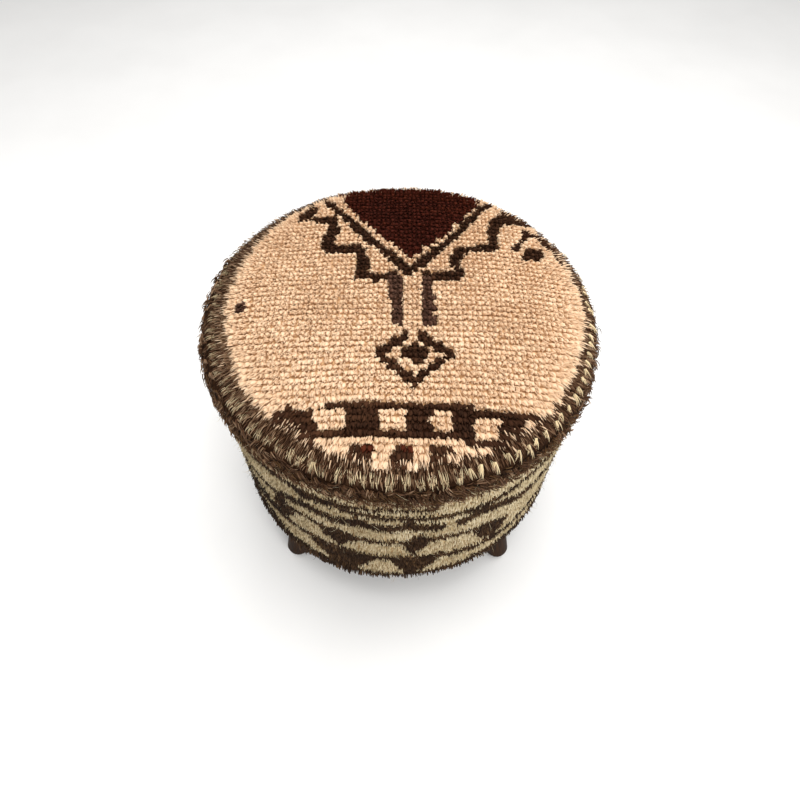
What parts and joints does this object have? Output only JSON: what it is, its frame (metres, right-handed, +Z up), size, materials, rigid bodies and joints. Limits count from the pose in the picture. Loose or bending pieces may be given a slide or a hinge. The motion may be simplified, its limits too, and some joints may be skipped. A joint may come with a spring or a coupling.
{
  "type": "carpet pouf stool",
  "caption": "Low round pouf stool with a crowned knotted-carpet seat, a padded drum wrapped in a carpet band, and short splayed screw-in wooden legs.",
  "frame": {"origin": "on the floor, below the middle of the round seat", "axes": "+Z up; -Y is the front, the side that the carpet's row of squares lies on; the side carpet's closing seam is at the back, on +Y"},
  "size_m": [0.4, 0.4, 0.35],
  "materials": {
    "cream_wool": "hand-knotted wool pile, peach cream with dark brown motifs",
    "brown_wool": "hand-knotted dark brown wool pile",
    "side_wool": "hand-knotted wool pile, weathered beige with dark brown motifs",
    "cotton_yarn": "loose-twisted cream cotton sewing yarn",
    "foam": "soft upholstery foam",
    "felt": "needled grey felt",
    "hardboard": "pressed hardboard",
    "plywood": "sanded poplar plywood",
    "softwood": "planed pine",
    "dust_cloth": "black non-woven cloth",
    "leg_wood": "dark stained and waxed beech",
    "screw_steel": "zinc plated",
    "insert_brass": "turned",
    "fibre": "red vulcanised fibre",
    "glide_nylon": "moulded brown nylon"
  },
  "bodies": {
    "drum": {"seat_carpet": "cream_wool", "edge_strip": "brown_wool", "side_carpet": "side_wool", "rim_stitching": "cotton_yarn", "back_seam_stitching": "cotton_yarn", "seat_foam": "foam", "side_wadding": "felt", "drum_wall": "hardboard", "seat_board": "plywood", "base_board": "plywood", "dust_cover": "dust_cloth", "frame_post_1": "softwood", "seat_screw_1": "screw_steel", "base_screw_1": "screw_steel", "leg_block_1": "leg_wood", "thread_insert_1": "insert_brass", "frame_post_2": "softwood", "seat_screw_2": "screw_steel", "base_screw_2": "screw_steel", "leg_block_2": "leg_wood", "thread_insert_2": "insert_brass", "frame_post_3": "softwood", "seat_screw_3": "screw_steel", "base_screw_3": "screw_steel", "leg_block_3": "leg_wood", "thread_insert_3": "insert_brass", "frame_post_4": "softwood", "seat_screw_4": "screw_steel", "base_screw_4": "screw_steel", "leg_block_4": "leg_wood", "thread_insert_4": "insert_brass", "block_screw_1": "screw_steel", "block_screw_2": "screw_steel", "block_screw_3": "screw_steel", "block_screw_4": "screw_steel", "block_screw_5": "screw_steel", "block_screw_6": "screw_steel", "block_screw_7": "screw_steel", "block_screw_8": "screw_steel"},
    "washer_1": {"leg_washer_1": "fibre"},
    "leg_1": {"leg_1": "leg_wood", "hanger_bolt_1": "screw_steel", "foot_glide_1": "glide_nylon"},
    "washer_2": {"leg_washer_2": "fibre"},
    "leg_2": {"leg_2": "leg_wood", "hanger_bolt_2": "screw_steel", "foot_glide_2": "glide_nylon"},
    "washer_3": {"leg_washer_3": "fibre"},
    "leg_3": {"leg_3": "leg_wood", "hanger_bolt_3": "screw_steel", "foot_glide_3": "glide_nylon"},
    "washer_4": {"leg_washer_4": "fibre"},
    "leg_4": {"leg_4": "leg_wood", "hanger_bolt_4": "screw_steel", "foot_glide_4": "glide_nylon"}
  },
  "joints": [
    {"name": "leg_1_back_out", "type": "slide", "parent": "drum", "child": "washer_1", "axis": [0.2185, 0.2185, -0.9511], "range_m": [0, 0.01]},
    {"name": "leg_1_unscrew", "type": "hinge", "parent": "washer_1", "child": "leg_1", "pos_m": [0.11356, 0.11356, 0.092], "axis": [0.2185, 0.2185, -0.9511], "range_deg": [0, 2880]},
    {"name": "leg_2_back_out", "type": "slide", "parent": "drum", "child": "washer_2", "axis": [-0.2185, 0.2185, -0.9511], "range_m": [0, 0.01]},
    {"name": "leg_2_unscrew", "type": "hinge", "parent": "washer_2", "child": "leg_2", "pos_m": [-0.11356, 0.11356, 0.092], "axis": [-0.2185, 0.2185, -0.9511], "range_deg": [0, 2880]},
    {"name": "leg_3_back_out", "type": "slide", "parent": "drum", "child": "washer_3", "axis": [-0.2185, -0.2185, -0.9511], "range_m": [0, 0.01]},
    {"name": "leg_3_unscrew", "type": "hinge", "parent": "washer_3", "child": "leg_3", "pos_m": [-0.11356, -0.11356, 0.092], "axis": [-0.2185, -0.2185, -0.9511], "range_deg": [0, 2880]},
    {"name": "leg_4_back_out", "type": "slide", "parent": "drum", "child": "washer_4", "axis": [0.2185, -0.2185, -0.9511], "range_m": [0, 0.01]},
    {"name": "leg_4_unscrew", "type": "hinge", "parent": "washer_4", "child": "leg_4", "pos_m": [0.11356, -0.11356, 0.092], "axis": [0.2185, -0.2185, -0.9511], "range_deg": [0, 2880]}
  ],
  "couplings": [
    {"joint": "leg_1_back_out", "follows": "leg_1_unscrew", "m_per_rad": 0.00019894},
    {"joint": "leg_2_back_out", "follows": "leg_2_unscrew", "m_per_rad": 0.00019894},
    {"joint": "leg_3_back_out", "follows": "leg_3_unscrew", "m_per_rad": 0.00019894},
    {"joint": "leg_4_back_out", "follows": "leg_4_unscrew", "m_per_rad": 0.00019894}
  ]
}
